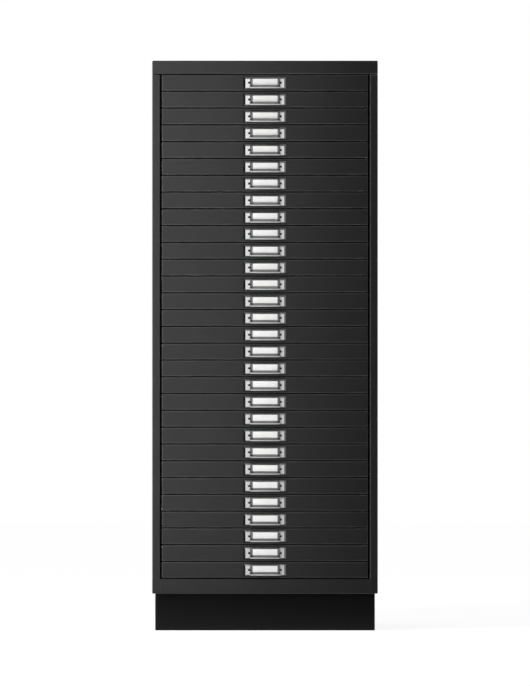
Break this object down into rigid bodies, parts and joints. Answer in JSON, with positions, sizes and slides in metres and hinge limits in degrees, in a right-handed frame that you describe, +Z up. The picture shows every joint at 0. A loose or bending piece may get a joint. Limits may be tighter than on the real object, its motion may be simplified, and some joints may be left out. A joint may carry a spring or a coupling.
{
  "type": "multi-drawer cabinet",
  "caption": "Tall steel office cabinet on a set-back plinth, with a column of shallow drawers that each slide out by a chrome label holder and finger pull.",
  "frame": {"origin": "on the floor, under the middle of the cabinet's overall box", "axes": "+Z up, front and drawers towards -Y, +X to the right seen from the front"},
  "size_m": [0.364, 0.45, 0.9205],
  "materials": {
    "casing_paint": "black powder coat, satin, faint orange peel",
    "drawer_paint": "black powder coat, satin",
    "plinth_paint": "black powder coat, matt",
    "frame_paint": "black powder coat, matt, inside the casing",
    "buffer_rubber": "matt black rubber",
    "zinc_fasteners": "bright zinc plate",
    "pull_chrome": "bright plated steel",
    "label_card": "blank white card behind a clear film",
    "rivet_black": "black oxide"
  },
  "bodies": {
    "casing": {"back_panel": "casing_paint", "back_panel_rivets": "zinc_fasteners", "base_panel": "casing_paint", "bottom_rail": "casing_paint", "cover_screws": "zinc_fasteners", "front_left_upright": "frame_paint", "front_right_upright": "frame_paint", "front_top_stretcher": "frame_paint", "left_runners": "frame_paint", "left_side_panel": "casing_paint", "plinth_back": "plinth_paint", "plinth_bolts": "zinc_fasteners", "plinth_corner_brackets": "plinth_paint", "plinth_front": "plinth_paint", "plinth_left_side": "plinth_paint", "plinth_nuts": "zinc_fasteners", "plinth_right_side": "plinth_paint", "rear_buffers": "buffer_rubber", "rear_left_upright": "frame_paint", "rear_right_upright": "frame_paint", "rear_top_stretcher": "frame_paint", "right_runners": "frame_paint", "right_side_panel": "casing_paint", "top_cover": "casing_paint"},
    "drawer_01": {"drawer_01": "drawer_paint"},
    "drawer_02": {"drawer_02": "drawer_paint"},
    "drawer_03": {"drawer_03": "drawer_paint"},
    "drawer_04": {"drawer_04": "drawer_paint"},
    "drawer_05": {"drawer_05": "drawer_paint"},
    "drawer_06": {"drawer_06": "drawer_paint"},
    "drawer_07": {"drawer_07": "drawer_paint"},
    "drawer_08": {"drawer_08": "drawer_paint"},
    "drawer_09": {"drawer_09": "drawer_paint"},
    "drawer_10": {"drawer_10": "drawer_paint"},
    "drawer_11": {"drawer_11": "drawer_paint"},
    "drawer_12": {"drawer_12": "drawer_paint"},
    "drawer_13": {"drawer_13": "drawer_paint"},
    "drawer_14": {"drawer_14": "drawer_paint"},
    "drawer_15": {"drawer_15": "drawer_paint"},
    "drawer_16": {"drawer_16": "drawer_paint"},
    "drawer_17": {"drawer_17": "drawer_paint"},
    "drawer_18": {"drawer_18": "drawer_paint"},
    "drawer_19": {"drawer_19": "drawer_paint"},
    "drawer_20": {"drawer_20": "drawer_paint"},
    "drawer_21": {"drawer_21": "drawer_paint"},
    "drawer_22": {"drawer_22": "drawer_paint"},
    "drawer_23": {"drawer_23": "drawer_paint"},
    "drawer_24": {"drawer_24": "drawer_paint"},
    "drawer_25": {"drawer_25": "drawer_paint"},
    "drawer_26": {"drawer_26": "drawer_paint"},
    "drawer_27": {"drawer_27": "drawer_paint"},
    "drawer_28": {"drawer_28": "drawer_paint"},
    "drawer_29": {"drawer_29": "drawer_paint"},
    "drawer_30": {"drawer_30": "drawer_paint"}
  },
  "joints": [
    {"name": "drawer_01_slide", "type": "slide", "parent": "casing", "child": "drawer_01", "axis": [0, -1, 0], "range_m": [0, 0.34]},
    {"name": "drawer_02_slide", "type": "slide", "parent": "casing", "child": "drawer_02", "axis": [0, -1, 0], "range_m": [0, 0.34]},
    {"name": "drawer_03_slide", "type": "slide", "parent": "casing", "child": "drawer_03", "axis": [0, -1, 0], "range_m": [0, 0.34]},
    {"name": "drawer_04_slide", "type": "slide", "parent": "casing", "child": "drawer_04", "axis": [0, -1, 0], "range_m": [0, 0.34]},
    {"name": "drawer_05_slide", "type": "slide", "parent": "casing", "child": "drawer_05", "axis": [0, -1, 0], "range_m": [0, 0.34]},
    {"name": "drawer_06_slide", "type": "slide", "parent": "casing", "child": "drawer_06", "axis": [0, -1, 0], "range_m": [0, 0.34]},
    {"name": "drawer_07_slide", "type": "slide", "parent": "casing", "child": "drawer_07", "axis": [0, -1, 0], "range_m": [0, 0.34]},
    {"name": "drawer_08_slide", "type": "slide", "parent": "casing", "child": "drawer_08", "axis": [0, -1, 0], "range_m": [0, 0.34]},
    {"name": "drawer_09_slide", "type": "slide", "parent": "casing", "child": "drawer_09", "axis": [0, -1, 0], "range_m": [0, 0.34]},
    {"name": "drawer_10_slide", "type": "slide", "parent": "casing", "child": "drawer_10", "axis": [0, -1, 0], "range_m": [0, 0.34]},
    {"name": "drawer_11_slide", "type": "slide", "parent": "casing", "child": "drawer_11", "axis": [0, -1, 0], "range_m": [0, 0.34]},
    {"name": "drawer_12_slide", "type": "slide", "parent": "casing", "child": "drawer_12", "axis": [0, -1, 0], "range_m": [0, 0.34]},
    {"name": "drawer_13_slide", "type": "slide", "parent": "casing", "child": "drawer_13", "axis": [0, -1, 0], "range_m": [0, 0.34]},
    {"name": "drawer_14_slide", "type": "slide", "parent": "casing", "child": "drawer_14", "axis": [0, -1, 0], "range_m": [0, 0.34]},
    {"name": "drawer_15_slide", "type": "slide", "parent": "casing", "child": "drawer_15", "axis": [0, -1, 0], "range_m": [0, 0.34]},
    {"name": "drawer_16_slide", "type": "slide", "parent": "casing", "child": "drawer_16", "axis": [0, -1, 0], "range_m": [0, 0.34]},
    {"name": "drawer_17_slide", "type": "slide", "parent": "casing", "child": "drawer_17", "axis": [0, -1, 0], "range_m": [0, 0.34]},
    {"name": "drawer_18_slide", "type": "slide", "parent": "casing", "child": "drawer_18", "axis": [0, -1, 0], "range_m": [0, 0.34]},
    {"name": "drawer_19_slide", "type": "slide", "parent": "casing", "child": "drawer_19", "axis": [0, -1, 0], "range_m": [0, 0.34]},
    {"name": "drawer_20_slide", "type": "slide", "parent": "casing", "child": "drawer_20", "axis": [0, -1, 0], "range_m": [0, 0.34]},
    {"name": "drawer_21_slide", "type": "slide", "parent": "casing", "child": "drawer_21", "axis": [0, -1, 0], "range_m": [0, 0.34]},
    {"name": "drawer_22_slide", "type": "slide", "parent": "casing", "child": "drawer_22", "axis": [0, -1, 0], "range_m": [0, 0.34]},
    {"name": "drawer_23_slide", "type": "slide", "parent": "casing", "child": "drawer_23", "axis": [0, -1, 0], "range_m": [0, 0.34]},
    {"name": "drawer_24_slide", "type": "slide", "parent": "casing", "child": "drawer_24", "axis": [0, -1, 0], "range_m": [0, 0.34]},
    {"name": "drawer_25_slide", "type": "slide", "parent": "casing", "child": "drawer_25", "axis": [0, -1, 0], "range_m": [0, 0.34]},
    {"name": "drawer_26_slide", "type": "slide", "parent": "casing", "child": "drawer_26", "axis": [0, -1, 0], "range_m": [0, 0.34]},
    {"name": "drawer_27_slide", "type": "slide", "parent": "casing", "child": "drawer_27", "axis": [0, -1, 0], "range_m": [0, 0.34]},
    {"name": "drawer_28_slide", "type": "slide", "parent": "casing", "child": "drawer_28", "axis": [0, -1, 0], "range_m": [0, 0.34]},
    {"name": "drawer_29_slide", "type": "slide", "parent": "casing", "child": "drawer_29", "axis": [0, -1, 0], "range_m": [0, 0.34]},
    {"name": "drawer_30_slide", "type": "slide", "parent": "casing", "child": "drawer_30", "axis": [0, -1, 0], "range_m": [0, 0.34]}
  ]
}
